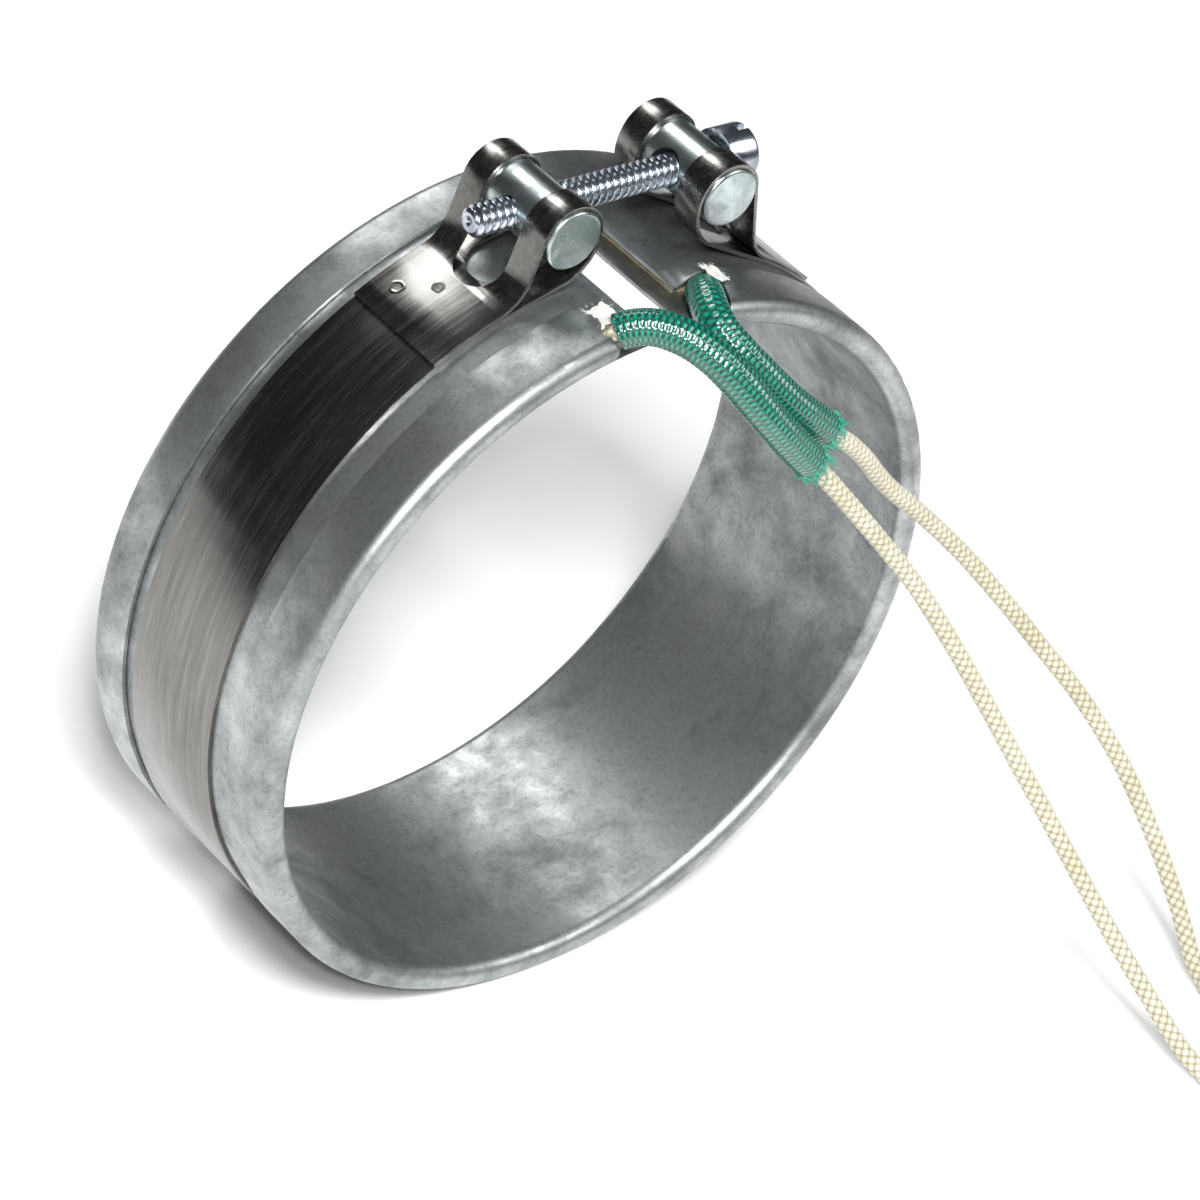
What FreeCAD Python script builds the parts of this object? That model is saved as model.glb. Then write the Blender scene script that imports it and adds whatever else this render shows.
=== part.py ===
import FreeCAD, Part
import os
import math
from FreeCAD import Vector as V

# Band heater, clamped round a horizontal barrel.
# Frame: origin at the centre of the bore, bore axis along Y, clamp and gap at
# the top (+Z), clamp screw along X with its head at +X.  Lead exits at -Y.
# Angles round the band are measured from +Z towards +X, in degrees.

# ---------------------------------------------------------------- dimensions
bore_r = 57.15            # barrel radius (4.5 in bore)
band_w = 44.45            # overall width over the two folded hems (1.75 in)
sheet_t = 0.6             # sheath, cover and strap sheet thickness
hem_r = 61.30             # outside of the folded hems
hem_front = 9.9           # length of the front hem's flap from the front edge
hem_back = 8.3            # length of the back hem's flap from the back edge
gap_right = 1.9           # sheath end on the right of the gap, degrees
gap_left = -5.4           # sheath end on the left of the gap, degrees
cover_right = 3.3         # cover end on the right
cover_left = -6.3         # cover end on the left
cover_r = 60.0            # inside of the cover
cover_y0, cover_y1 = -16.6, 18.6
mica_y0, mica_y1 = -16.0, 16.5
former_hw = 15.0          # half width of the former that carries the ribbon
former_yc = 0.2
ribbon_w = 1.8
ribbon_t = 0.10
strap_w = 19.05
strap_y = 1.82            # middle of the strap
strap_r = 60.65           # inside of the strap
window_w = 9.5
window_y = 2.0
pin_r = 4.76
pin_len = 20.1
pin_y = 1.85
pin_z = 67.95
pin_left_x = -11.33
pin_right_x = 17.67
loop_play = 0.05
screw_r = 2.40
screw_y = 1.70
screw_tip_x = -22.9
head_x0, head_x1 = 22.50, 27.95
head_r = 4.30
head_slot_w, head_slot_d = 1.3, 2.3
thread_play = 0.02
clearance_hole_r = 3.20
lead_r = 1.46
sleeve_r = 2.80
sleeve_bore_r = 1.70
sleeve_end_y = -14.1      # where the right sleeve stops under the cover's lip
lead_length = 304.8        # each lead, from its exit to the stripped end (12 in)
strip_len = 9.0            # bare conductor beyond the insulation
conductor_r = 0.62
splice_t = 0.35
floor_z = -hem_r          # lowest line of the band
upper_end_left = -32.0    # where the strap's folded-back ends stop
upper_end_right = 38.1

O = V(0, 0, 0)
YAX = V(0, 1, 0)
os.makedirs("parts", exist_ok=True)
shapes = {}


def put(name, shape):
    if shape.ShapeType == "Compound" and len(shape.Solids) == 1:
        shape = shape.Solids[0]
    print(name, "valid", shape.isValid(), "solids", len(shape.Solids),
          "volume", round(shape.Volume, 2))
    shapes[name] = shape


def turned(face_yz, a0, a1):
    """Revolve a face drawn in the YZ plane (z = radius) from a0 to a1 degrees."""
    f = face_yz.copy()
    f.rotate(O, YAX, a0)
    return f.revolve(O, YAX, a1 - a0)


def rect_yz(y0, y1, r0, r1):
    pts = [V(0, y0, r0), V(0, y1, r0), V(0, y1, r1), V(0, y0, r1), V(0, y0, r0)]
    return Part.Face(Part.makePolygon(pts))


def prism_xy(pts, z0, z1):
    w = Part.makePolygon([V(x, y, z0) for x, y in pts + [pts[0]]])
    return Part.Face(w).extrude(V(0, 0, z1 - z0))


def cyl_y(r, y0, y1, x=0.0, z=0.0):
    return Part.makeCylinder(r, y1 - y0, V(x, y0, z), YAX)


# -------------------------------------------------------------------- sheath
hw = band_w / 2.0
fr = (hem_r - bore_r) / 2.0           # outer radius of each fold
fi = fr - sheet_t                     # inner radius of each fold
fc_r = bore_r + fr                    # radius of the fold's centre
fc = hw - fr                          # y of the fold's centre


def arc(a, m, b):
    return Part.Arc(V(0, *a), V(0, *m), V(0, *b)).toShape()


def seg(a, b):
    return Part.LineSegment(V(0, *a), V(0, *b)).toShape()


yb = hw - hem_back
yf = -hw + hem_front
edges = [
    seg((-fc, bore_r), (fc, bore_r)),
    arc((fc, bore_r), (hw, fc_r), (fc, hem_r)),
    seg((fc, hem_r), (yb, hem_r)),
    seg((yb, hem_r), (yb, hem_r - sheet_t)),
    seg((yb, hem_r - sheet_t), (fc, hem_r - sheet_t)),
    arc((fc, hem_r - sheet_t), (fc + fi, fc_r), (fc, bore_r + sheet_t)),
    seg((fc, bore_r + sheet_t), (-fc, bore_r + sheet_t)),
    arc((-fc, bore_r + sheet_t), (-fc - fi, fc_r), (-fc, hem_r - sheet_t)),
    seg((-fc, hem_r - sheet_t), (yf, hem_r - sheet_t)),
    seg((yf, hem_r - sheet_t), (yf, hem_r)),
    seg((yf, hem_r), (-fc, hem_r)),
    arc((-fc, hem_r), (-hw, fc_r), (-fc, bore_r)),
]
sheath = turned(Part.Face(Part.Wire(edges)), gap_right, 360.0 + gap_left)

core = cyl_y(bore_r + sheet_t, -40, 40)
# The front hem stops short of both ends, where the leads come out.
cut_left = prism_xy([(-11.65, -11.6), (-12.1, -23.5), (2.0, -23.5), (2.0, -11.6)], 50, 70).cut(core)
cut_right = prism_xy([(13.1, -11.6), (12.75, -14.2), (9.7, -19.9), (7.4, -23.5),
                      (0.0, -23.5), (0.0, -11.6)], 50, 70).cut(core)
sheath = sheath.cut(cut_left).cut(cut_right)
# The hem flaps' free corners at the gap are nipped back a little.
nip = prism_xy([(-6.9, 13.0), (-5.0, 24.0), (3.2, 24.0), (3.9, 13.0)], 50, 70).cut(core)
sheath = sheath.cut(nip)

# ----------------------------------------------------- heating pack and cover
lead_notch = prism_xy([(0.0, -30.0), (15.0, -30.0), (15.0, -12.35), (0.0, -12.35)], 40, 80)


def layer(y0, y1, r0, r1, a0, a1):
    return turned(rect_yz(y0, y1, r0, r1), a0, 360.0 + a1).cut(lead_notch)


# The cover reaches a little further forward, in a lip over the right lead.
lip_notch = prism_xy([(0.0, -30.0), (15.0, -30.0), (15.0, -12.35), (11.5, -12.35), (9.2, -13.1),
                      (6.2, -13.9), (3.9, -14.6), (0.0, -15.5)], 40, 80)
cover = turned(rect_yz(cover_y0, cover_y1, cover_r, cover_r + sheet_t),
               cover_right, 360.0 + cover_left).cut(lip_notch)
put("cover_strip", cover)
mica_in = layer(mica_y0, mica_y1, 57.78, 58.34, 5.5, -8.0)
put("mica_inner", mica_in)
former = turned(rect_yz(former_yc - former_hw, former_yc + former_hw, 58.54, 59.09), 17.0, 360.0 - 17.0)
put("mica_former", former)
mica_out = layer(mica_y0, mica_y1, 59.34, 59.94, 5.5, -8.0)
put("mica_outer", mica_out)


# Heating ribbon: one flat wire wound round the former, as a closed polyhedron.
def at(angle, y, r):
    a = math.radians(angle)
    return V(r * math.sin(a), y, r * math.cos(a))


path = []                 # (angle, y, radius, miter_y, miter_r)
r_in, r_out = 58.45, 59.22
y_lo, y_hi = former_yc - former_hw - 0.10, former_yc + former_hw + 0.10
ribbon_a0, ribbon_a1 = 19.0, 342.0
turns = 36
ribbon_pitch = (ribbon_a1 - ribbon_a0) / turns
a = ribbon_a0
path.append((a, -17.2, r_out, 0.0, 1.0))
for k in range(turns):
    path.append((a, y_hi, r_out, 1.0, 1.0))
    path.append((a, y_hi, r_in, 1.0, -1.0))
    path.append((a, y_lo, r_in, -1.0, -1.0))
    path.append((a + 0.25 * ribbon_pitch, y_lo, r_out, -1.0, 1.0))
    path.append((a + 0.60 * ribbon_pitch, former_yc, r_out, 0.0, 1.0))
    a += ribbon_pitch
path.append((a, y_hi, r_out, 1.0, 1.0))
path.append((a, y_hi, r_in, 1.0, -1.0))
path.append((a, y_lo, r_in, -1.0, -1.0))
path.append((a + 1.2, y_lo, r_out, -1.0, -1.0))
path.append((a + 1.2, -17.2, r_out, 0.0, -1.0))


def ring(p):
    ang, y, r, my, mr = p
    half = math.degrees(ribbon_w / 2.0 / r)
    h = ribbon_t / 2.0
    return [at(ang - half, y - my * h, r - mr * h), at(ang + half, y - my * h, r - mr * h),
            at(ang + half, y + my * h, r + mr * h), at(ang - half, y + my * h, r + mr * h)]


def poly_solid(rings):
    faces = []

    def tri(a, b, c):
        if (b - a).cross(c - a).Length > 1e-9:
            faces.append(Part.Face(Part.makePolygon([a, b, c, a])))
    for i in range(len(rings) - 1):
        p, q = rings[i], rings[i + 1]
        for j in range(4):
            k = (j + 1) % 4
            tri(p[j], p[k], q[k])
            tri(p[j], q[k], q[j])
    tri(rings[0][0], rings[0][2], rings[0][1])
    tri(rings[0][0], rings[0][3], rings[0][2])
    tri(rings[-1][0], rings[-1][1], rings[-1][2])
    tri(rings[-1][0], rings[-1][2], rings[-1][3])
    shell = Part.Shell(faces)
    solid = Part.Solid(shell)
    if solid.Volume < 0:
        solid.reverse()
    return solid


put("heating_ribbon", poly_solid([ring(p) for p in path]))

# Flat nickel terminals from the ribbon's ends to the leads, in the front fold.
for name, a0, a1 in (("terminal_right", 12.0, 20.2), ("terminal_left", -18.5, -11.9)):
    bar = turned(rect_yz(-20.4, -17.6, 58.95, 59.35), a0, a1)
    lo, hi = (18.0, 20.0) if a0 > 0 else (-17.9, -15.7)
    tab = turned(rect_yz(-17.7, -16.45, 58.95, 59.16), lo, hi)
    bar = bar.fuse(tab)
    if a0 > 0:                    # and on to the right lead, which starts further back
        bar = bar.fuse(turned(rect_yz(-17.7, -14.2, 58.95, 59.35), 12.0, 13.4))
    put(name, bar.removeSplitter())

# --------------------------------------------------------------- clamp strap
# The strap is one strip.  Its middle line is a chain of tangent arcs and
# lines in the XZ plane; the right half is drawn, and the left half mirrored.
ht = sheet_t / 2.0
r_lo = strap_r + ht                   # middle line of the single layer
r_up = strap_r + sheet_t + ht + 0.03  # middle line of the folded-back layer
loop_r = pin_r + loop_play + ht


def side(px, lift, wide_r, leg_deg, end_deg):
    """Segments for one side, drawn as on the right.  Each is ('line', p, q) or
    ('arc', centre, r, a, b), points as (x, z), arc angles anticlockwise from +X."""
    P = (px, pin_z)
    al = math.radians(lift)
    n = (math.sin(al), math.cos(al))
    t = (math.cos(al), -math.sin(al))
    # wide lower part of the loop
    d = (r_lo + wide_r) - (P[0] * n[0] + P[1] * n[1])
    s = math.sqrt((wide_r - loop_r) ** 2 - d * d)
    F = (P[0] + d * n[0] + s * t[0], P[1] + d * n[1] + s * t[1])
    T1 = (F[0] - wide_r * n[0], F[1] - wide_r * n[1])
    T0 = (r_lo * n[0], r_lo * n[1])
    u = (P[0] - F[0], P[1] - F[1])
    ul = math.hypot(*u)
    ua = math.atan2(u[1], u[0])
    segs = [("line", T0, T1)]
    a1 = math.atan2(-n[1], -n[0])     # at T1, seen from F
    segs.append(("arc", F, wide_r, a1, ua))
    # leg on the outer side, leaning out by leg_deg from the vertical
    lg = math.radians(leg_deg)
    ln = (math.cos(lg), math.sin(lg))           # outward normal of the leg
    ld = (math.sin(lg), -math.cos(lg))          # downward direction of the leg
    segs.append(("arc", P, loop_r, ua, lg))
    L0 = (P[0] + loop_r * ln[0], P[1] + loop_r * ln[1])
    # fillet between the leg and the upper layer, on the open side
    rf = 7.0
    # centre: distance rf outside the leg line, and r_up + rf from the bore axis
    bx, bz = L0[0] + rf * ln[0], L0[1] + rf * ln[1]
    bb = bx * ld[0] + bz * ld[1]
    cc = bx * bx + bz * bz - (r_up + rf) ** 2
    s2 = -bb - math.sqrt(bb * bb - cc)
    G = (bx + s2 * ld[0], bz + s2 * ld[1])
    L1 = (G[0] - rf * ln[0], G[1] - rf * ln[1])
    segs.append(("line", L0, L1))
    ga = math.atan2(-G[1], -G[0])
    la = math.atan2(-ln[1], -ln[0])
    segs.append(("arc", G, rf, la, ga))
    g_deg = math.degrees(math.atan2(G[0], G[1]))
    segs.append(("arc", (0.0, 0.0), r_up, math.radians(90.0 - g_deg), math.radians(90.0 - end_deg)))
    return segs, T1, F


def offset(segs, d, mirror):
    """Edges of the chain moved d towards the outside of the loop (away from
    the loop's pin), i.e. below the lower layer and above the upper one."""
    out = []
    sg = -1.0 if mirror else 1.0

    def v(p):
        return V(sg * p[0], 0, p[1])
    for i, s in enumerate(segs):
        if s[0] == "line":
            (x0, z0), (x1, z1) = s[1], s[2]
            L = math.hypot(x1 - x0, z1 - z0)
            # travelling outwards along the chain the loop is on the right hand
            nx, nz = -(z1 - z0) / L * -1.0, (x1 - x0) / L * -1.0
            nx, nz = sign_line[i] * nx, sign_line[i] * nz
            out.append(Part.LineSegment(v((x0 + d * nx, z0 + d * nz)),
                                        v((x1 + d * nx, z1 + d * nz))).toShape())
        else:
            c, r, a0, a1 = s[1], s[2], s[3], s[4]
            r2 = r + d * sign_arc[i]
            if dir_arc[i] > 0:
                while a1 < a0:
                    a1 += 2 * math.pi
            else:
                while a1 > a0:
                    a1 -= 2 * math.pi
            am = 0.5 * (a0 + a1)
            p = [v((c[0] + r2 * math.cos(q), c[1] + r2 * math.sin(q))) for q in (a0, am, a1)]
            out.append(Part.Arc(*p).toShape())
    return out


# chain order: line, wide arc, loop arc, leg line, fillet arc, upper arc.
# The wide and loop arcs run clockwise; d > 0 means away from the pin.
dir_arc = {1: -1, 2: -1, 4: 1, 5: -1}
sign_arc = {1: 1.0, 2: 1.0, 4: -1.0, 5: 1.0}
sign_line = {0: 1.0, 3: -1.0}


def chain(px, lift, wide_r, leg, end, mirror):
    segs, T1, F = side(px, lift, wide_r, leg, end)
    # line 0 runs from the bore circle to T1; away from the pin is inwards
    return segs


def strip_edges(segs, d, mirror):
    return offset(segs, d, mirror)


def build_strap():
    right = chain(pin_right_x, 27.0, 7.5, 12.0, upper_end_right, False)
    left = chain(-pin_left_x, 17.0, 7.4, 12.0, -upper_end_left, True)
    res = []
    for segs, mirror in ((right, False), (left, True)):
        res.append((strip_edges(segs, ht, mirror), strip_edges(segs, -ht, mirror)))
    (ro, ri), (lo, li) = res
    # around the bottom of the band
    def arcs(r):
        a0 = math.radians(90.0 - 27.0)
        a1 = math.radians(90.0 + 17.0)
        out = []
        total = (a1 - 2 * math.pi) - a0
        n = 4
        for i in range(n):
            q0, q1 = a0 + total * i / n, a0 + total * (i + 1) / n
            qm = 0.5 * (q0 + q1)
            out.append(Part.Arc(*[V(r * math.cos(q), 0, r * math.sin(q)) for q in (q0, qm, q1)]).toShape())
        return out
    inner = arcs(strap_r)
    outer = arcs(strap_r + sheet_t)

    def cap(e_list_a, e_list_b):
        return Part.LineSegment(e_list_a.Vertexes[-1].Point, e_list_b.Vertexes[-1].Point).toShape()
    ends = []
    for o, i in ((ro, ri), (lo, li)):
        po = o[-1].valueAt(o[-1].LastParameter)
        pi = i[-1].valueAt(i[-1].LastParameter)
        ends.append(Part.LineSegment(po, pi).toShape())
    all_edges = inner + outer + ro + ri + lo + li + ends
    wires = Part.sortEdges(all_edges)
    print("strap wires", len(wires), [Part.Wire(w).isClosed() for w in wires])
    w = Part.Wire(wires[0])
    f = Part.Face(w)
    f.translate(V(0, strap_y - strap_w / 2.0, 0))
    return f.extrude(V(0, strap_w, 0))


strap = build_strap()


def slot(x_end, x_open, z0, z1):
    """Window cutter: round end at x_end, open towards x_open."""
    r = window_w / 2.0
    s = 1.0 if x_open > x_end else -1.0
    cx = x_end + s * r
    box = Part.makeBox(abs(x_open - cx), window_w, z1 - z0,
                       V(min(cx, x_open), window_y - r, z0))
    cyl = Part.makeCylinder(r, z1 - z0, V(cx, window_y, z0), V(0, 0, 1))
    return box.fuse(cyl)


under = cyl_y(strap_r + sheet_t + 0.015, -30, 30)
wins = [
    slot(-22.1, pin_left_x + 8.5, 40, 90).cut(under),
    slot(-19.8, pin_left_x + 8.5, 40, pin_z),
    slot(28.6, pin_right_x - 8.5, 40, 90).cut(under),
    slot(26.0, pin_right_x - 8.5, 40, pin_z),
]
for wn in wins:
    strap = strap.cut(wn)
strap = strap.removeSplitter()
put("clamp_strap", strap)

# -------------------------------------------------------- pins and the screw
XAX = V(1, 0, 0)


def pin(x, hole):
    p = cyl_y(pin_r, pin_y - pin_len / 2.0, pin_y + pin_len / 2.0, x, pin_z)
    rims = [e for e in p.Edges if e.Closed and abs(e.Length - 2 * math.pi * pin_r) < 1e-3]
    p = p.makeFillet(0.55, rims)
    return p.cut(Part.makeCylinder(hole, 30, V(x - 15, screw_y, pin_z), XAX))


put("threaded_pin", pin(pin_left_x, screw_r + thread_play))
put("clearance_pin", pin(pin_right_x, clearance_hole_r))

shank = Part.makeCylinder(screw_r, head_x0 - screw_tip_x, V(screw_tip_x, screw_y, pin_z), XAX)
shank = shank.makeChamfer(0.7, [e for e in shank.Edges if e.Closed and abs(e.CenterOfMass.x - screw_tip_x) < 1e-3])
head = Part.makeCylinder(head_r, head_x1 - head_x0, V(head_x0, screw_y, pin_z), XAX)
head = head.makeFillet(0.8, [e for e in head.Edges if e.Closed and abs(e.CenterOfMass.x - head_x1) < 1e-3])
slot_box = Part.makeBox(head_slot_d + 1, head_slot_w, 20,
                        V(head_x1 - head_slot_d, screw_y - head_slot_w / 2.0, pin_z - 10))
slot_box.rotate(V(0, screw_y, pin_z), XAX, 0.0)
put("clamp_screw", shank.fuse(head).cut(slot_box).removeSplitter())

# ------------------------------------------------------------ leads, sleeves
route_left = [
    (-13.0, -18.8, 57.8), (-11.1, -19.5, 60.1), (-7.1, -22.5, 61.9), (-3.0, -27.3, 61.2),
    (1.3, -32.7, 57.1), (7.0, -36.6, 49.9), (17.2, -38.2, 40.0), (27.3, -39.8, 29.1),
    (37.4, -42.5, 17.9), (45.7, -46.0, 6.3), (52.9, -50.5, -5.4), (59.4, -56.1, -17.1),
    (65.5, -62.5, -28.5), (70.8, -69.9, -39.5), (75.1, -78.3, -49.0), (79.8, -90.3, -59.8),
    (84.3, -102.3, -59.8), (88.5, -113.9, -59.8), (92.0, -124.6, -59.8),
]
route_right = [
    (12.9, -14.7, 57.95), (8.8, -15.0, 58.95), (5.4, -19.6, 61.1), (3.5, -24.3, 60.2),
    (5.8, -29.1, 56.9), (12.5, -33.2, 50.1), (20.8, -34.3, 43.6), (30.1, -33.0, 36.6),
    (39.0, -31.4, 26.8), (49.1, -31.1, 18.4), (58.5, -32.3, 9.7), (67.3, -34.9, 0.4),
    (75.3, -38.9, -9.1), (83.0, -44.3, -18.5), (89.1, -50.6, -28.6), (93.0, -57.4, -38.8),
    (95.2, -65.3, -49.2), (95.6, -73.6, -59.8), (96.6, -84.0, -59.8),
]
# Rolled-up rest of each lead: a flat spiral, winding inwards, that starts at
# the route's last point.  (centre x, centre y, start angle in degrees)
coil_r0 = 15.9            # radius of the lead's middle where the spiral starts
coil_step = 3.1           # how far it winds inwards in one turn
coil_left = (107.1, -119.7)
coil_right = (112.5, -83.4)
coil_in_r, coil_out_r = 10.6, 17.5


def run_wire(pts, tag):
    """Straight runs joined by tangent arcs, one at each point of the route."""
    P = [V(*p) for p in pts]
    edges, length, radii = [], 0.0, []
    cur = P[0]
    for i in range(1, len(P) - 1):
        a, b, c = P[i - 1], P[i], P[i + 1]
        u = (b - a).normalize()
        w = (c - b).normalize()
        turn = u.getAngle(w)
        r = 0.45 * min((b - a).Length, (c - b).Length) / math.tan(turn / 2.0)
        tl = r * math.tan(turn / 2.0)
        t1 = b - u * tl
        t2 = b + w * tl
        bis = (w - u).normalize()
        cen = b + bis * (r / math.cos(turn / 2.0))
        mid = cen - bis * r
        edges.append(Part.LineSegment(cur, t1).toShape())
        edges.append(Part.Arc(t1, mid, t2).toShape())
        length += (t1 - cur).Length + r * turn
        radii.append(round(r, 1))
        cur = t2
    edges.append(Part.LineSegment(cur, P[-1]).toShape())
    length += (P[-1] - cur).Length
    print(tag, "length", round(length, 2), "radii", radii)
    return edges, length


def tube(edges, r):
    w = Part.Wire(edges)
    e0 = edges[0]
    p0 = e0.valueAt(e0.FirstParameter)
    d0 = e0.tangentAt(e0.FirstParameter)
    c = Part.Wire(Part.makeCircle(r, p0, d0))
    return w.makePipeShell([c], True, True)


def part_between(edges, s0, s1):
    """The stretch of a chain of edges between two lengths along it."""
    out, acc = [], 0.0
    for e in edges:
        e0, e1 = acc, acc + e.Length
        acc = e1
        lo, hi = max(e0, s0), min(e1, s1)
        if hi - lo < 1e-6:
            continue
        p0 = e.FirstParameter if lo <= e0 + 1e-9 else e.getParameterByLength(lo - e0)
        p1 = e.LastParameter if hi >= e1 - 1e-9 else e.getParameterByLength(hi - e0)
        out.append(e.Curve.toShape(p0, p1))
    return out


wall = cyl_y(bore_r + sheet_t + 0.02, -22.6, 22.6)
exits = {}
for tag, pts, s0, s1, coil in (("left", route_left, 2.3, 43.5, coil_left),
                               ("right", route_right, 3.6, 41.2, coil_right)):
    edges, length = run_wire(pts, "lead_" + tag)
    t = tube(edges, lead_r)
    want = math.pi * lead_r ** 2 * length
    print("  tube volume / section x length", round(t.Volume / want, 5))
    put("lead_" + tag, t)
    se = part_between(edges, s0, s1)
    outer = tube(se, sleeve_r)
    if tag == "right":            # it ends square under the cover's lip
        outer = outer.cut(Part.makeBox(40, 20, 40, V(-10, sleeve_end_y, 45)))
    put("sleeve_" + tag, outer.cut(tube(se, sleeve_bore_r)).cut(wall))
    # the hem's end is notched where the lead and its sleeve come out
    sheath = sheath.cut(tube(part_between(edges, 0.0, 12.0), lead_r + 0.03).cut(core))
    sheath = sheath.cut(tube(part_between(edges, s0, 14.0), sleeve_r + 0.03).cut(core))
    exits[tag] = outer
    # the rest of the lead, wound up
    cx, cy = coil
    o = Part.makeCylinder(coil_out_r, 2 * lead_r, V(cx, cy, floor_z), V(0, 0, 1))
    i = Part.makeCylinder(coil_in_r, 2 * lead_r + 2, V(cx, cy, floor_z - 1), V(0, 0, 1))
    put("lead_coil_" + tag, o.cut(i))
    # stripped end, bent on along the spiral
    x0, y0, z0 = pts[-1]
    th0 = math.atan2(y0 - cy, x0 - cx)
    rest = lead_length - length
    k = coil_step / (2 * math.pi)
    th = (coil_r0 - math.sqrt(coil_r0 ** 2 - 2 * k * rest)) / k
    r_end = coil_r0 - k * th
    print("  coil turns", round(th / (2 * math.pi), 3), "end radius", round(r_end, 2),
          "start radius", round(math.hypot(x0 - cx, y0 - cy), 2))
    # bare conductor: on along the spiral, then bent inwards into the coil's eye
    q = th0 + th
    ex, ey = cx + r_end * math.cos(q), cy + r_end * math.sin(q)
    tx, ty = -math.sin(q), math.cos(q)
    r_c = 7.0
    ox, oy = ex - r_c * math.cos(q), ey - r_c * math.sin(q)
    P = [V(ox + r_c * math.cos(q + v / r_c), oy + r_c * math.sin(q + v / r_c), floor_z + lead_r)
         for v in (-1.0, 0.5 * strip_len, strip_len)]
    put("conductor_" + tag, tube([Part.Arc(*P).toShape()], conductor_r))

# Glass-fibre wraps over the splices; their ends show where the leads come out.
put("splice_wrap_left",
    turned(rect_yz(-17.8, -13.6, 60.75, 60.75 + splice_t), -10.9, -8.6).cut(exits["left"]))
put("splice_wrap_right",
    turned(rect_yz(-15.0, -12.5, 61.20, 61.20 + splice_t), 8.8, 11.4).cut(exits["right"]))
put("sheath", sheath)

for name, shape in shapes.items():
    shape.exportStep("parts/%s.step" % name)
print("nodes", len(shapes))
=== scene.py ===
import math

import bmesh
import bpy
import numpy as np
from mathutils import Matrix, Vector


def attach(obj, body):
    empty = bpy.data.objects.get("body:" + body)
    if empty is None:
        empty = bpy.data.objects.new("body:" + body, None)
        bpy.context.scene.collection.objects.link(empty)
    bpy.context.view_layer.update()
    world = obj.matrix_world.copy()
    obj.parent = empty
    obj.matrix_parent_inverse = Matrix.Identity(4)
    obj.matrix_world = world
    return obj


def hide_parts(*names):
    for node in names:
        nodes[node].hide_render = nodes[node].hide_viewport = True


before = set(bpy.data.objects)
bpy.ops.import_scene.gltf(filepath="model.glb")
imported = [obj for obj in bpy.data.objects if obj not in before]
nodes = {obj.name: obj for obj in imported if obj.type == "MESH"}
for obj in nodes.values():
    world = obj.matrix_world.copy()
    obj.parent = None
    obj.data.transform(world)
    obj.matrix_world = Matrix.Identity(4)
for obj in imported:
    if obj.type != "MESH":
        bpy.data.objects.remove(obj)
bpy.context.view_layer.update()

MM = 0.001
scene = bpy.context.scene
scene.view_settings.view_transform = "Standard"
scene.view_settings.look = "None"

# ------------------------------------------------------------------- camera
cam_data = bpy.data.cameras.new("camera")
cam_data.sensor_width = 36.0
cam_data.lens = 18.0 / math.tan(math.radians(12.5007) / 2.0)
cam_data.clip_start, cam_data.clip_end = 0.01, 50.0
cam = bpy.data.objects.new("camera", cam_data)
scene.collection.objects.link(cam)
CAM = Vector((-0.47315, -0.46902, 0.47446))
RIGHT = Vector((0.76832, -0.61192, 0.18773)).normalized()
BACK = Vector((-0.58922, -0.56161, 0.58088)).normalized()
UP = BACK.cross(RIGHT).normalized()
RIGHT = UP.cross(BACK).normalized()
cam.matrix_world = Matrix(((RIGHT.x, UP.x, BACK.x, CAM.x), (RIGHT.y, UP.y, BACK.y, CAM.y),
                           (RIGHT.z, UP.z, BACK.z, CAM.z), (0, 0, 0, 1)))
scene.camera = cam

# ------------------------------------------------------ the object's numbers
BORE_R, SHEET, HEM_R, HALF_W = 57.15, 0.6, 61.30, 22.225
FLOOR_Z = -61.30
SCREW_Y, PIN_Z, PIN_Y = 1.70, 67.95, 1.85
PIN_LX, PIN_RX, PIN_R, PIN_LEN = -11.33, 17.67, 4.76, 20.1
LEAD_R, SLEEVE_R = 1.46, 2.80

ROUTE_LEFT = [
    (-13.0, -18.8, 57.8), (-11.1, -19.5, 60.1), (-7.1, -22.5, 61.9), (-3.0, -27.3, 61.2),
    (1.3, -32.7, 57.1), (7.0, -36.6, 49.9), (17.2, -38.2, 40.0), (27.3, -39.8, 29.1),
    (37.4, -42.5, 17.9), (45.7, -46.0, 6.3), (52.9, -50.5, -5.4), (59.4, -56.1, -17.1),
    (65.5, -62.5, -28.5), (70.8, -69.9, -39.5), (75.1, -78.3, -49.0), (79.8, -90.3, -59.8),
    (84.3, -102.3, -59.8), (88.5, -113.9, -59.8), (92.0, -124.6, -59.8),
]
ROUTE_RIGHT = [
    (12.9, -14.7, 57.95), (8.8, -15.0, 58.95), (5.4, -19.6, 61.1), (3.5, -24.3, 60.2),
    (5.8, -29.1, 56.9), (12.5, -33.2, 50.1), (20.8, -34.3, 43.6), (30.1, -33.0, 36.6),
    (39.0, -31.4, 26.8), (49.1, -31.1, 18.4), (58.5, -32.3, 9.7), (67.3, -34.9, 0.4),
    (75.3, -38.9, -9.1), (83.0, -44.3, -18.5), (89.1, -50.6, -28.6), (93.0, -57.4, -38.8),
    (95.2, -65.3, -49.2), (95.6, -73.6, -59.8), (96.6, -84.0, -59.8),
]
COIL_R0, COIL_STEP = 15.9, 3.1
COILS = {"left": (107.1, -119.7, 0.995), "right": (112.5, -83.4, 1.254)}


# ------------------------------------------------------------- mesh helpers
def link(obj):
    scene.collection.objects.link(obj)
    return obj


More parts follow.
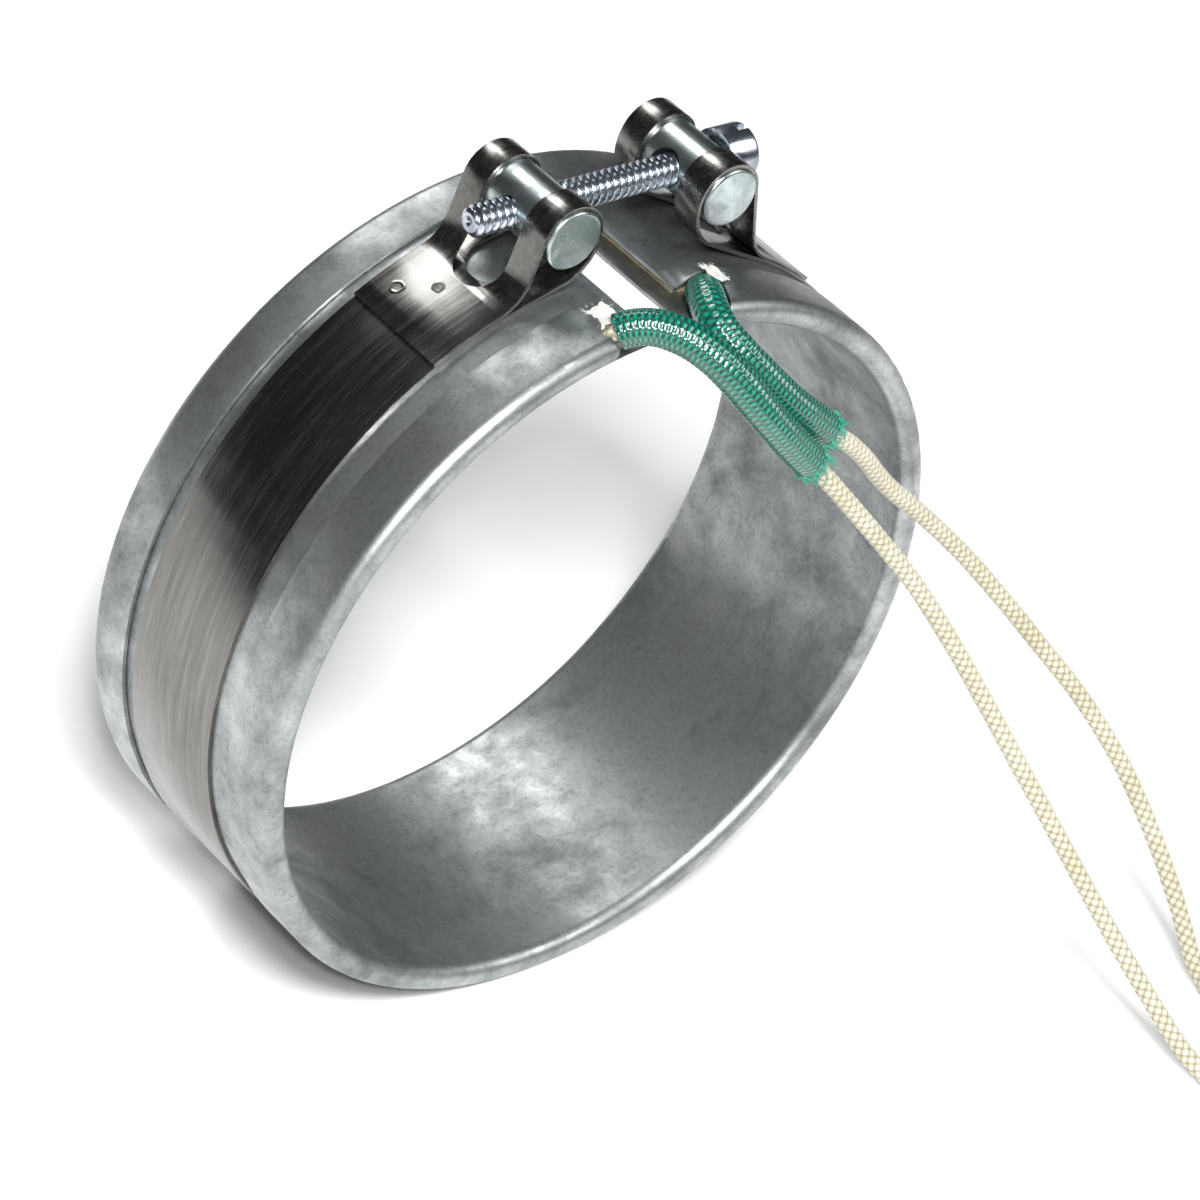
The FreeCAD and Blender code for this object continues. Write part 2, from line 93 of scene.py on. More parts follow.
def make_mesh(name, verts, faces, uvs=None, attrs=None, smooth=True, scale=MM):
    """A mesh object from points in millimetres.  uvs: per vertex (u, v)."""
    me = bpy.data.meshes.new(name)
    me.from_pydata([tuple(v) for v in (np.asarray(verts, float) * scale)], [],
                   [tuple(int(i) for i in f) for f in faces])
    me.validate()
    if uvs is not None:
        lay = me.uv_layers.new(name="UVMap")
        idx = np.zeros(len(me.loops), np.int32)
        me.loops.foreach_get("vertex_index", idx)
        lay.data.foreach_set("uv", np.asarray(uvs, np.float32)[idx].ravel())
    for key, val in (attrs or {}).items():
        at = me.attributes.new(key, "FLOAT", "POINT")
        at.data.foreach_set("value", np.asarray(val, np.float32))
    me.polygons.foreach_set("use_smooth", [smooth] * len(me.polygons))
    me.update()
    return link(bpy.data.objects.new(name, me))


def frames_along(P):
    """Parallel-transported frames along a polyline: tangent and two normals."""
    T = np.gradient(P, axis=0)
    T /= np.linalg.norm(T, axis=1)[:, None]
    n = np.cross(T[0], [0.0, 0.0, 1.0])
    if np.linalg.norm(n) < 1e-3:
        n = np.cross(T[0], [1.0, 0.0, 0.0])
    n /= np.linalg.norm(n)
    N1 = np.zeros_like(P)
    N1[0] = n
    for i in range(1, len(P)):
        n = n - T[i] * np.dot(n, T[i])
        n /= np.linalg.norm(n)
        N1[i] = n
    return T, N1, np.cross(T, N1)


def arc_length(P):
    return np.r_[0, np.cumsum(np.linalg.norm(np.diff(P, axis=0), axis=1))]


def resample(P, s_new):
    s = arc_length(P)
    return np.c_[[np.interp(s_new, s, P[:, k]) for k in range(3)]].T


def nurbs_line(name, pts):
    """The smooth line of a route: a NURBS spline with the route's points as its
    control points.  Returned as points in millimetres."""
    cu = bpy.data.curves.new(name, "CURVE")
    cu.dimensions = "3D"
    cu.resolution_u = 24
    sp = cu.splines.new("NURBS")
    sp.points.add(len(pts) - 1)
    for p, q in zip(sp.points, pts):
        p.co = (q[0] * MM, q[1] * MM, q[2] * MM, 1.0)
    sp.order_u = 3
    sp.use_endpoint_u = True
    ob = link(bpy.data.objects.new(name, cu))
    dg = bpy.context.evaluated_depsgraph_get()
    me = bpy.data.meshes.new_from_object(ob.evaluated_get(dg))
    co = np.zeros(len(me.vertices) * 3)
    me.vertices.foreach_get("co", co)
    bpy.data.meshes.remove(me)
    bpy.data.objects.remove(ob)
    bpy.data.curves.remove(cu)
    return co.reshape(-1, 3) / MM


def coil_points(route, coil):
    """Control points of the wound-up rest of a lead: a flat spiral inwards."""
    cx, cy, turns = coil
    x0, y0, z0 = route[-1]
    th0 = math.atan2(y0 - cy, x0 - cx)
    step = 2 * math.pi / 16
    n = max(3, int(round(turns * 16)))
    grow = 1.0 / (0.75 + 0.25 * math.cos(step))
    out = []
    for i in range(1, n + 1):
        th = 2 * math.pi * turns * i / n
        r = (COIL_R0 - COIL_STEP * th / (2 * math.pi)) * (grow if i < n else 1.0)
        out.append((cx + r * math.cos(th0 + th), cy + r * math.sin(th0 + th), z0))
    return out


def braid(s, th, count, pitch):
    """Height 0..1 of a braided surface, and the coordinate along the yarn on
    top.  count yarns each way; pitch is the spacing of the crossings."""
    A = count * th / (2 * math.pi) + s / pitch
    B = count * th / (2 * math.pi) - s / pitch
    a, b = np.sin(np.pi * A), np.sin(np.pi * B)
    over = 0.5 + 0.5 * np.tanh(2.6 * a * b)
    h1 = np.abs(a) ** 0.75 * (0.35 + 0.65 * np.abs(b) ** 0.6) * over
    h2 = np.abs(b) ** 0.75 * (0.35 + 0.65 * np.abs(a) ** 0.6) * (1 - over)
    return np.maximum(h1, h2), np.where(over > 0.5, A, B), np.where(over > 0.5, B, A)


def tube_rows(P, s_rows, nth, radius):
    """Vertices of a tube round the line P, at lengths s_rows, with the radius
    given by radius(s, theta)."""
    s_all = arc_length(P)
    fine = np.linspace(0, s_all[-1], int(s_all[-1] / 0.12) + 2)
    Q = resample(P, fine)
    T, N1, N2 = frames_along(Q)

    def pick(X):
        return np.c_[[np.interp(s_rows, fine, X[:, k]) for k in range(3)]].T
    C, A, Bn = pick(Q), pick(N1), pick(N2)
    A /= np.linalg.norm(A, axis=1)[:, None]
    Bn /= np.linalg.norm(Bn, axis=1)[:, None]
    th = np.linspace(0, 2 * np.pi, nth, endpoint=False)
    S, TH = np.meshgrid(s_rows, th, indexing="ij")
    R = radius(S, TH)
    V = C[:, None] + R[..., None] * (np.cos(TH)[..., None] * A[:, None] + np.sin(TH)[..., None] * Bn[:, None])
    return V, S, TH, C, A, Bn


def tube_faces(rows, nth, base=0):
    i = np.arange(rows - 1)[:, None]
    j = np.arange(nth)[None, :]
    k = (j + 1) % nth
    a = base + i * nth + j
    b = base + i * nth + k
    return np.stack([a, b, b + nth, a + nth], -1).reshape(-1, 4).tolist()


def softened(node_name, piece_name, width, keep=None):
    """A copy of a CAD piece with its sharp edges rolled over by width mm."""
    src = nodes[node_name]
    me = src.data.copy()
    bm = bmesh.new()
    bm.from_mesh(me)
    bmesh.ops.remove_doubles(bm, verts=bm.verts[:], dist=2e-6)
    if keep is not None:
        bad = [f for f in bm.faces if not keep(f)]
        bmesh.ops.delete(bm, geom=bad, context="FACES")
    bm.to_mesh(me)
    bm.free()
    me.polygons.foreach_set("use_smooth", [True] * len(me.polygons))
    tmp = link(bpy.data.objects.new(piece_name + "_tmp", me))
    tmp.matrix_world = src.matrix_world.copy()
    md = tmp.modifiers.new("edge", "BEVEL")
    md.width = width * MM
    md.segments = 3
    md.limit_method = "ANGLE"
    md.angle_limit = math.radians(48)
    md.harden_normals = True
    md.use_clamp_overlap = True
    dg = bpy.context.evaluated_depsgraph_get()
    out = bpy.data.meshes.new_from_object(tmp.evaluated_get(dg))
    out.name = piece_name
    bpy.data.objects.remove(tmp)
    ob = link(bpy.data.objects.new(piece_name, out))
    return ob


# ------------------------------------------------------------- node helpers
def srgb(r, g, b):
    def f(c):
        c = c / 255.0
        return c / 12.92 if c <= 0.04045 else ((c + 0.055) / 1.055) ** 2.4
    return (f(r), f(g), f(b), 1.0)


class Mat:
    """A small builder for node materials."""

    def __init__(self, name, **sockets):
        self.m = bpy.data.materials.new(name)
        self.m.use_nodes = True
        self.t = self.m.node_tree
        self.p = next(n for n in self.t.nodes if n.type == "BSDF_PRINCIPLED")
        for k, v in sockets.items():
            self.p.inputs[k.replace("_", " ")].default_value = v

    def node(self, kind, **props):
        n = self.t.nodes.new(kind)
        for k, v in props.items():
            setattr(n, k, v)
        return n

    def link(self, a, b):
        self.t.links.new(a, b)

    def coords(self, out="Object", scale=(1, 1, 1), rot=(0, 0, 0), loc=(0, 0, 0)):
        tc = self.node("ShaderNodeTexCoord")
        mp = self.node("ShaderNodeMapping")
        mp.inputs["Scale"].default_value = scale
        mp.inputs["Rotation"].default_value = rot
        mp.inputs["Location"].default_value = loc
        self.link(tc.outputs[out], mp.inputs["Vector"])
        return mp.outputs["Vector"]

    def noise(self, vec, scale, detail=4.0, rough=0.5, distort=0.0):
        n = self.node("ShaderNodeTexNoise")
        n.inputs["Scale"].default_value = scale
        n.inputs["Detail"].default_value = detail
        n.inputs["Roughness"].default_value = rough
        n.inputs["Distortion"].default_value = distort
        self.link(vec, n.inputs["Vector"])
        return n.outputs["Fac"]

    def ramp(self, fac, stops, mode="LINEAR"):
        n = self.node("ShaderNodeValToRGB")
        n.color_ramp.interpolation = mode
        el = n.color_ramp.elements
        while len(el) > 1:
            el.remove(el[-1])
        el[0].position, el[0].color = stops[0]
        for pos, col in stops[1:]:
            e = el.new(pos)
            e.color = col
        self.link(fac, n.inputs["Fac"])
        return n.outputs["Color"]

    def mix(self, fac, a, b, blend="MIX"):
        n = self.node("ShaderNodeMix", data_type="RGBA", blend_type=blend)
        for sock, val in ((n.inputs[0], fac), (n.inputs[6], a), (n.inputs[7], b)):
            if isinstance(val, (int, float)):
                sock.default_value = val
            elif isinstance(val, tuple):
                sock.default_value = val
            else:
                self.link(val, sock)
        return n.outputs[2]

    def math(self, op, a, b=0.0, c=None, clamp=False):
        n = self.node("ShaderNodeMath", operation=op, use_clamp=clamp)
        for i, val in enumerate((a, b, c)):
            if val is None:
                continue
            if isinstance(val, (int, float)):
                n.inputs[i].default_value = val
            else:
                self.link(val, n.inputs[i])
        return n.outputs[0]

    def remap(self, fac, lo, hi, a=0.0, b=1.0):
        n = self.node("ShaderNodeMapRange")
        n.inputs["From Min"].default_value = a
        n.inputs["From Max"].default_value = b
        n.inputs["To Min"].default_value = lo
        n.inputs["To Max"].default_value = hi
        self.link(fac, n.inputs["Value"])
        return n.outputs["Result"]

    def bump(self, height, dist, strength=1.0, prev=None):
        n = self.node("ShaderNodeBump")
        n.inputs["Strength"].default_value = strength
        n.inputs["Distance"].default_value = dist
        self.link(height, n.inputs["Height"])
        if prev is not None:
            self.link(prev, n.inputs["Normal"])
        return n.outputs["Normal"]

    def set(self, name, out):
        self.link(out, self.p.inputs[name])

    def attr(self, name):
        n = self.node("ShaderNodeAttribute", attribute_name=name)
        return n.outputs["Fac"]


def assign(obj, mat):
    obj.data.materials.clear()
    obj.data.materials.append(mat.m if isinstance(mat, Mat) else mat)


# ---------------------------------------------------------------- materials
def galvanised(name, lo, mid, hi, rough=(0.34, 0.58)):
    m = Mat(name, Metallic=1.0)
    v = m.coords("Object")
    big = m.noise(v, 42.0, 5.0, 0.62, 0.6)
    med = m.noise(v, 190.0, 4.0, 0.6, 0.3)
    fine = m.noise(v, 1500.0, 3.0, 0.6)
    mix1 = m.math("ADD", m.math("MULTIPLY", big, 0.62), m.math("MULTIPLY", med, 0.38))
    col = m.ramp(mix1, [(0.36, lo), (0.50, mid), (0.64, hi)])
    speck = m.ramp(fine, [(0.30, (0.72, 0.72, 0.72, 1)), (0.52, (1, 1, 1, 1))])
    col = m.mix(0.8, col, speck, "MULTIPLY")
    # dark stains
    st = m.noise(m.coords("Object", loc=(3.1, 1.7, 0.4)), 70.0, 6.0, 0.7, 1.2)
    stain = m.ramp(st, [(0.60, (1, 1, 1, 1)), (0.72, (0.62, 0.64, 0.64, 1))])
    col = m.mix(0.7, col, stain, "MULTIPLY")
    m.set("Base Color", col)
    m.set("Roughness", m.remap(mix1, rough[1], rough[0], 0.3, 0.7))
    n1 = m.bump(m.noise(v, 95.0, 3.0, 0.5), 0.00025, 0.35)
    n2 = m.bump(fine, 0.00003, 0.35, n1)
    m.set("Normal", n2)
    return m


mat_sheath = galvanised("sheath_steel", srgb(124, 128, 128), srgb(162, 166, 166), srgb(194, 197, 197))
mat_cover = galvanised("cover_steel", srgb(116, 120, 120), srgb(154, 158, 158), srgb(186, 189, 189))


def strap_material():
    """Brushed strip: the grain runs round the band."""
    m = Mat("strap_steel", Metallic=1.0)
    v = m.coords("Object")
    sep = m.node("ShaderNodeSeparateXYZ")
    m.link(v, sep.inputs[0])
    ang = m.math("ARCTAN2", sep.outputs["X"], sep.outputs["Z"])

    def grain(along, across, detail):
        c = m.node("ShaderNodeCombineXYZ")
        m.link(m.math("MULTIPLY", ang, along), c.inputs[0])
        m.link(m.math("MULTIPLY", sep.outputs["Y"], across), c.inputs[1])
        m.link(m.math("MULTIPLY", m.math("ADD", m.math("MULTIPLY", sep.outputs["X"], sep.outputs["X"]),
                                         m.math("MULTIPLY", sep.outputs["Z"], sep.outputs["Z"])), across * 8), c.inputs[2])
        return m.noise(c.outputs[0], 1.0, detail, 0.65)
    brush = grain(2.6, 900.0, 4.0)
    brush2 = grain(7.0, 4200.0, 3.0)
    blotch = m.noise(v, 55.0, 4.0, 0.6)
    spots = m.noise(v, 420.0, 5.0, 0.75, 0.8)
    both = m.math("ADD", m.math("MULTIPLY", brush, 0.55), m.math("MULTIPLY", brush2, 0.45))
    col = m.ramp(both, [(0.30, srgb(104, 103, 100)), (0.52, srgb(134, 133, 130)), (0.75, srgb(160, 159, 156))])
    dirt = m.ramp(blotch, [(0.34, (0.80, 0.80, 0.80, 1)), (0.6, (1, 1, 1, 1))])
    col = m.mix(0.7, col, dirt, "MULTIPLY")
    dots = m.ramp(spots, [(0.66, (1, 1, 1, 1)), (0.74, (0.55, 0.50, 0.42, 1))])
    col = m.mix(0.6, col, dots, "MULTIPLY")
    m.set("Base Color", col)
    m.set("Roughness", m.remap(both, 0.17, 0.34, 0.25, 0.75))
    n = m.bump(both, 0.000018, 0.5)
    n = m.bump(m.noise(v, 26.0, 2.0, 0.4), 0.0005, 0.22, n)
    m.set("Normal", n)
    return m


mat_strap = strap_material()


def zinc(name, lo, hi, rough=(0.22, 0.42), rings=None):
    m = Mat(name, Metallic=1.0)
    v = m.coords("Object")
    a = m.noise(v, 260.0, 5.0, 0.65, 0.4)
    f = m.noise(v, 1800.0, 3.0, 0.6)
    col = m.ramp(a, [(0.34, lo), (0.62, hi)])
    m.set("Base Color", col)
    m.set("Roughness", m.remap(a, rough[1], rough[0], 0.3, 0.7))
    n = m.bump(a, 0.00008, 0.3)
    n = m.bump(f, 0.00002, 0.35, n)
    if rings is not None:
        # fine facing rings on the pin's ends, about the pin's axis
        sep = m.node("ShaderNodeSeparateXYZ")
        m.link(v, sep.inputs[0])
        dx = m.math("SUBTRACT", sep.outputs["X"], rings[0])
        dz = m.math("SUBTRACT", sep.outputs["Z"], rings[1])
        r = m.math("SQRT", m.math("ADD", m.math("MULTIPLY", dx, dx), m.math("MULTIPLY", dz, dz)))
        w = m.math("SINE", m.math("MULTIPLY", r, 2 * math.pi / 0.00042))
        wob = m.math("MULTIPLY", w, m.noise(v, 500.0, 2.0))
        n = m.bump(wob, 0.000012, 0.5, n)
    m.set("Normal", n)
    return m


mat_pin_l = zinc("pin_left_zinc", srgb(150, 160, 160), srgb(196, 206, 206), rings=(PIN_LX * MM, PIN_Z * MM))
mat_pin_r = zinc("pin_right_zinc", srgb(150, 160, 160), srgb(196, 206, 206), rings=(PIN_RX * MM, PIN_Z * MM))
mat_screw = zinc("screw_zinc", srgb(150, 160, 170), srgb(205, 213, 222), rough=(0.18, 0.34))


def sleeve_material():
    m = Mat("sleeve_weave", Roughness=0.26)
    m.p.inputs["Coat Weight"].default_value = 0.9
    m.p.inputs["Coat Roughness"].default_value = 0.14
    m.p.inputs["Specular IOR Level"].default_value = 0.6
    h = m.attr("ht")
    v = m.coords("Object")
    tone = m.noise(v, 330.0, 4.0, 0.6)
    # colour from the braid height: darker in the valleys between the yarns, which is painted shade, and lighter on the
    # yarn crests, which is a painted highlight standing in for the green glint on the varnish
    col = m.ramp(h, [(0.05, srgb(0, 48, 40)), (0.45, srgb(0, 86, 70)), (0.80, srgb(0, 112, 91)), (1.0, srgb(20, 150, 124))])
    shade = m.ramp(tone, [(0.30, (0.75, 0.80, 0.80, 1)), (0.65, (1, 1, 1, 1))])
    col = m.mix(1.0, col, shade, "MULTIPLY")
    m.set("Base Color", col)
    yarn = m.noise(m.coords("UV", scale=(3.0, 26.0, 1.0)), 1.0, 3.0, 0.6)
    m.set("Normal", m.bump(yarn, 0.00005, 0.35))
    return m


mat_sleeve = sleeve_material()


def lead_material():
    m = Mat("lead_braid", Roughness=0.62)
    m.p.inputs["Sheen Weight"].default_value = 0.25
    m.p.inputs["Sheen Roughness"].default_value = 0.5
    m.p.inputs["Subsurface Weight"].default_value = 0.12
    m.p.inputs["Subsurface Radius"].default_value = (0.0008, 0.0007, 0.0005)
    m.p.inputs["Subsurface Scale"].default_value = 1.0
    h = m.attr("ht")
    v = m.coords("Object")
    tone = m.noise(v, 120.0, 4.0, 0.6)
    # colour from the braid height: the valleys between the yarns are darker, which is painted shade; the yarn tops
    # carry the cream colour
    col = m.ramp(h, [(0.0, srgb(128, 120, 98)), (0.35, srgb(176, 170, 150)), (0.75, srgb(206, 203, 186)), (1.0, srgb(216, 214, 200))])
    warm = m.ramp(tone, [(0.32, srgb(232, 224, 204)), (0.60, srgb(255, 255, 250))])
    col = m.mix(0.75, col, warm, "MULTIPLY")
    m.set("Base Color", col)
    yarn = m.noise(m.coords("UV", scale=(2.0, 22.0, 1.0)), 1.0, 3.0, 0.7)
    m.set("Normal", m.bump(yarn, 0.00008, 0.55))
    return m


mat_lead = lead_material()


def fibre_material(name, col, rough=0.35, trans=0.35):
    m = Mat(name, Roughness=rough)
    m.p.inputs["Transmission Weight"].default_value = trans
    m.p.inputs["IOR"].default_value = 1.45
    v = m.coords("Object")
    t = m.noise(v, 900.0, 3.0, 0.6)
    c = m.ramp(t, [(0.3, tuple(0.8 * x for x in col[:3]) + (1,)), (0.7, col)])
    m.set("Base Color", c)
    m.set("Normal", m.bump(m.noise(v, 2500.0, 2.0), 0.00004, 0.5))
    return m


mat_weld = zinc("weld_mark", srgb(96, 96, 96), srgb(150, 150, 148), rough=(0.30, 0.5))
mat_ribbon = zinc("ribbon_bright", srgb(150, 148, 142), srgb(190, 188, 182), rough=(0.22, 0.36))


def mica_material():
    m = Mat("mica_sheet", Roughness=0.35)
    v = m.coords("Object")
    flakes = m.noise(v, 240.0, 6.0, 0.7, 1.4)
    col = m.ramp(flakes, [(0.30, srgb(150, 128, 92)), (0.50, srgb(196, 180, 146)), (0.70, srgb(222, 212, 186))])
    m.set("Base Color", col)
    m.set("Roughness", m.remap(flakes, 0.25, 0.55, 0.3, 0.7))
    m.set("Normal", m.bump(flakes, 0.0001, 0.4))
    return m


mat_mica = mica_material()
mat_fray = fibre_material("sleeve_fray", srgb(70, 190, 160))
mat_flake = fibre_material("splice_fibre", srgb(226, 228, 222), rough=0.55, trans=0.1)

# ------------------------------------------------------------- leads (cords)
SLEEVE_S = {"left": (3.3, 43.5), "right": (3.9, 41.2)}
SLEEVE_YARNS, SLEEVE_PITCH = 7, 0.86
LEAD_YARNS, LEAD_PITCH = 5, 1.6
rng = np.random.default_rng(7)
lines = {}

for tag, route in (("left", ROUTE_LEFT), ("right", ROUTE_RIGHT)):
    P = nurbs_line("route_" + tag, list(route) + coil_points(route, COILS[tag]))
    total = arc_length(P)[-1]
    lines[tag] = P
    nth = 50
    rows = np.linspace(0, total, int(total / 0.24))

    def rad(S, TH):
        h, _, _ = braid(S, TH, LEAD_YARNS, LEAD_PITCH)
        slow = 0.012 * np.sin(S * 0.9 + 1.0) + 0.010 * np.sin(S * 0.37 + TH)
        start = np.clip(S / 4.0, 0, 1)
        return (LEAD_R - 0.13 + 0.13 * h + slow) * (0.42 + 0.58 * start * start * (3 - 2 * start))

    V, S, TH, C, A, Bn = tube_rows(P, rows, nth, rad)
    h, along, across = braid(S, TH, LEAD_YARNS, LEAD_PITCH)
    verts = V.reshape(-1, 3)
    uv = np.c_[along.ravel() , across.ravel()]
    faces = tube_faces(len(rows), nth)
    base = len(verts)
    verts = np.vstack([verts, C[0], C[-1]])
    uv = np.vstack([uv, [0, 0], [0, 0]])
    ht = np.r_[h.ravel(), 0.2, 0.1]
    faces += [(base, (j + 1) % nth, j) for j in range(nth)]
    o = (len(rows) - 1) * nth
    faces += [(base + 1, o + j, o + (j + 1) % nth) for j in range(nth)]
    lead = make_mesh("lead_%s_braid" % tag, verts, faces, uv, {"ht": ht})
    assign(lead, mat_lead)
    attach(lead, "band")
    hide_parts("lead_" + tag, "lead_coil_" + tag)

    # sleeve: braided tube over the lead, flattened where it lies on the band
    s0, s1 = SLEEVE_S[tag]
    nth = 112
    rows = np.linspace(s0, s1, int((s1 - s0) / 0.105))

    def srad(S, TH):
        h, _, _ = braid(S, TH, SLEEVE_YARNS, SLEEVE_PITCH)
        ridge = np.cos(14 * TH) * -0.5 + 0.5
        return (SLEEVE_R - 0.22 + 0.12 * h + 0.08 * ridge + 0.03 * np.sin(S * 0.5 + 2 * TH)
                + 0.015 * np.sin(S * 1.3 - TH))

    V, S, TH, C, A, Bn = tube_rows(P, rows, nth, srad)
    h, along, across = braid(S, TH, SLEEVE_YARNS, SLEEVE_PITCH)
    rho = np.hypot(V[..., 0], V[..., 2])
    low = (V[..., 1] > -22.4) & (rho < BORE_R + SHEET + 0.05)
    k = np.where(low, (BORE_R + SHEET + 0.05) / np.maximum(rho, 1e-6), 1.0)
    if tag == "right":
        # pressed down where it goes in under the cover's lip
        top = 60.9 + 0.95 * np.clip(S - 3.9, 0, None)
        k = np.where((S < 8.0) & (rho > top), (top + 0.25 * (rho - top)) / rho, k)
    V[..., 0] *= k
    V[..., 2] *= k
    # inner wall of the sleeve, near its far end only
    outer = V.reshape(-1, 3)
    ht = h.ravel()
    uv = np.c_[along.ravel(), across.ravel()]
    faces = tube_faces(len(rows), nth)
    inner_rows = np.r_[s1 - 0.02, s1 - 2.0, s1 - 6.0]
    Vi, _, _, _, _, _ = tube_rows(P, inner_rows, nth, lambda S, TH: 0 * S + SLEEVE_R - 0.55)
    base = len(outer)
    verts = np.vstack([outer, Vi.reshape(-1, 3)])
    last = (len(rows) - 1) * nth
    faces += [(last + j, last + (j + 1) % nth, base + (j + 1) % nth, base + j) for j in range(nth)]
    faces += tube_faces(3, nth, base)
    # the inner wall gets a low height value, so the sleeve material paints it in its dark valley colour: painted shade
    # inside the tube's end
    ht = np.r_[ht, np.full(3 * nth, 0.1)]
    uv = np.vstack([uv, np.zeros((3 * nth, 2))])
    sleeve = make_mesh("sleeve_%s_weave" % tag, verts, faces, uv, {"ht": ht})
    assign(sleeve, mat_sleeve)
    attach(sleeve, "band")
    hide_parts("sleeve_" + tag)

    # bare stranded conductor at the far end
    cx, cy, turns = COILS[tag]
    end, T_end = P[-1], P[-1] - P[-2]
    T_end = T_end / np.linalg.norm(T_end)
    side = np.cross([0, 0, 1.0], T_end)
    arc = np.array([end + 7.0 * (math.sin(v / 7.0)) * T_end + 7.0 * (1 - math.cos(v / 7.0)) * side
                    for v in np.linspace(-1.0, 9.0, 60)])
    crow = np.linspace(0, 10.0, 160)
    V, S, TH, C, A, Bn = tube_rows(arc, crow, 42, lambda S, TH: 0.50 + 0.12 * np.abs(np.cos(3 * (TH + S * 0.55))))
    verts = np.vstack([V.reshape(-1, 3), C[-1]])
    faces = tube_faces(len(crow), 42)
    o = (len(crow) - 1) * 42
    faces += [(len(verts) - 1, o + j, o + (j + 1) % 42) for j in range(42)]
    cond = make_mesh("conductor_%s_strands" % tag, verts, faces)
    assign(cond, mat_screw)
    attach(cond, "band")
    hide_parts("conductor_" + tag)
    print("lead", tag, "line length", round(total, 1))

# -------------------------------------------------- sheet pieces, edges rolled
for node_name, piece, width, mt, slot in (
        ("sheath", "sheath_rolled", 0.13, mat_sheath, "sheath_steel"),
        ("cover_strip", "cover_rolled", 0.10, mat_cover, "cover_steel"),
        ("clamp_strap", "strap_brushed", 0.09, mat_strap, "strap_steel")):
    ob = softened(node_name, piece, width)
    assign(ob, mt)
    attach(ob, "band")
    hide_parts(node_name)

assign(nodes["threaded_pin"], mat_pin_l)
assign(nodes["clearance_pin"], mat_pin_r)
for n in ("mica_inner", "mica_former", "mica_outer"):
    assign(nodes[n], mat_mica)
assign(nodes["heating_ribbon"], mat_ribbon)
for n in ("terminal_left", "terminal_right"):
    assign(nodes[n], mat_ribbon)

# ------------------------------------------------------------- clamp screw
TIP_X, HEAD_X = -22.9, 22.5
THREAD_P, THREAD_R, THREAD_D = 1.32, 2.40, 0.72
nth = 72
xs = np.linspace(TIP_X, HEAD_X + 0.05, int((HEAD_X - TIP_X) / 0.082))
TH, X = np.meshgrid(np.linspace(0, 2 * np.pi, nth, endpoint=False), xs)
ph = (X / THREAD_P + TH / (2 * np.pi)) % 1.0
tri = np.abs(2 * ph - 1.0)                      # 1 at the crest, 0 in the root
prof = np.clip((tri - 0.10) / 0.74, 0, 1)
prof = prof * prof * (3 - 2 * prof) * 0.35 + prof * 0.65
R = THREAD_R - THREAD_D * (1 - prof)
R = np.minimum(R, 1.55 + 1.0 * (X - TIP_X))     # turned-down start
R = np.minimum(R, np.where(X > HEAD_X - 0.9, 2.05, 9.0))
rows = len(xs)
verts = np.stack([X, SCREW_Y + R * np.cos(TH), PIN_Z + R * np.sin(TH)], -1).reshape(-1, 3)
faces = tube_faces(rows, nth)
# the tip: a flat face with the lathe's centre dimple
base = len(verts)
tip_rings = [(1.30, 0.00), (0.62, 0.02), (0.40, 0.16), (0.18, 0.34)]
th1 = TH[0]
tv = [np.stack([np.full(nth, TIP_X + d), SCREW_Y + r * np.cos(th1), PIN_Z + r * np.sin(th1)], -1) for r, d in tip_rings]
verts = np.vstack([verts] + tv + [[[TIP_X + 0.38, SCREW_Y, PIN_Z]]])
for a, b in [(0, base)] + [(base + i * nth, base + (i + 1) * nth) for i in range(len(tip_rings) - 1)]:
    faces += [(a + j, b + j, b + (j + 1) % nth, a + (j + 1) % nth) for j in range(nth)]
a = base + (len(tip_rings) - 1) * nth
faces += [(a + j, len(verts) - 1, a + (j + 1) % nth) for j in range(nth)]
thread = make_mesh("screw_thread", verts, faces)
assign(thread, mat_screw)
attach(thread, "screw")

head = softened("clamp_screw", "screw_head", 0.22,
                keep=lambda f: all(v.co.x > (HEAD_X - 0.02) * MM for v in f.verts))
assign(head, mat_screw)
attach(head, "screw")
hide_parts("clamp_screw")


# --------------------------------------- frayed splice fibre and sleeve ends
def strands(name, roots, dirs, lens, width, rng, curl=0.35, thick=0.03, sag=None):
    """Thin flat strands, each a bent ribbon with a little thickness."""
    verts, faces = [], []
    for p, d, L in zip(roots, dirs, lens):
        d = np.asarray(d, float) / np.linalg.norm(d)
        side = np.cross(d, rng.normal(size=3))
        side /= np.linalg.norm(side)
        bend = rng.normal(size=3) * curl
        n, w = 6, width * rng.uniform(0.5, 1.3)
        up = np.cross(side, d) * thick
        base = len(verts)
        for i in range(n + 1):
            t = i / n
            c = np.asarray(p) + d * L * t + bend * L * 0.5 * t * t
            ww = w * (1 - 0.7 * t) * 0.5
            for q in (c - side * ww + up, c + side * ww + up, c + side * ww - up, c - side * ww - up):
                verts.append(q)
        for i in range(n):
            a = base + 4 * i
            for j in range(4):
                k = (j + 1) % 4
                faces.append((a + j, a + k, a + 4 + k, a + 4 + j))
        faces.append((base + 3, base + 2, base + 1, base))
        e = base + 4 * n
        faces.append((e, e + 1, e + 2, e + 3))
    return make_mesh(name, verts, faces)


def on_band(deg, y, rho):
    a = math.radians(deg)
    return np.array([rho * math.sin(a), y, rho * math.cos(a)])


